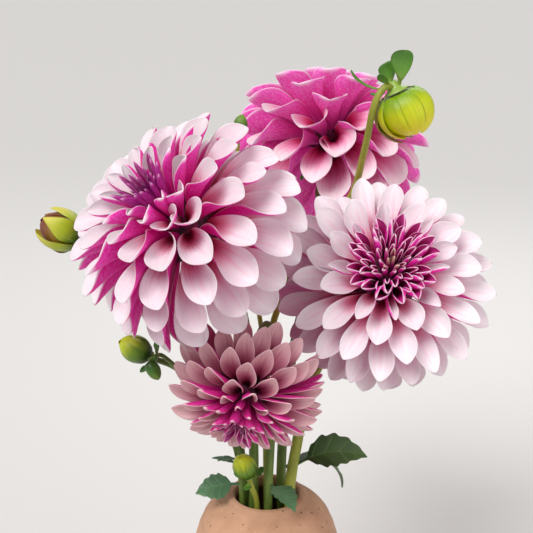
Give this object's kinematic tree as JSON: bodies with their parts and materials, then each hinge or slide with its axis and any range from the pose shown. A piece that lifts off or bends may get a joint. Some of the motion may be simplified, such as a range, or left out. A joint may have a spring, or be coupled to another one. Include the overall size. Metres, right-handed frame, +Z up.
{
  "type": "dahlias in a jar",
  "caption": "Cut dahlias with rounded many-petalled heads, closed buds and leafy stems, standing in water in a round-shouldered tan stoneware jar with a narrow mouth.",
  "frame": {"origin": "centre of the jar's flat foot, on the surface that it stands on", "axes": "+Z up along the jar's axis, -Y towards the viewer of the front, +X to that viewer's right"},
  "size_m": [0.271, 0.271, 0.4148],
  "materials": {
    "stoneware": "matte unglazed tan stoneware, slightly grainy and mottled",
    "water": "clear still water",
    "petals_pale": "satiny petals, pale pink face with fine veins and white rim, magenta reverse",
    "petals_deep": "satiny petals, pink face, magenta veined reverse with a pale rim",
    "petals_dusk": "satiny petals, mauve pink face, crimson magenta reverse with white tips",
    "stems": "fresh green stems, bracts and leaves with a waxy sheen and pale veins",
    "buds": "yellow-green closed buds, ridged where the petals wrap, waxy"
  },
  "bodies": {
    "root": {"jar": "stoneware", "water": "water", "bloom_left": "petals_pale", "bloom_right": "petals_pale", "bloom_back": "petals_deep", "bloom_low": "petals_dusk", "stalk_left": "stems", "stalk_right": "stems", "stalk_back": "stems", "stalk_low": "stems", "stalk_top_bud": "stems", "stalk_left_bud": "stems", "stalk_low_bud": "stems", "stalk_near_bud": "stems", "bud_top": "buds", "bud_left": "buds", "bud_low": "buds", "bud_near": "buds"}
  },
  "joints": []
}
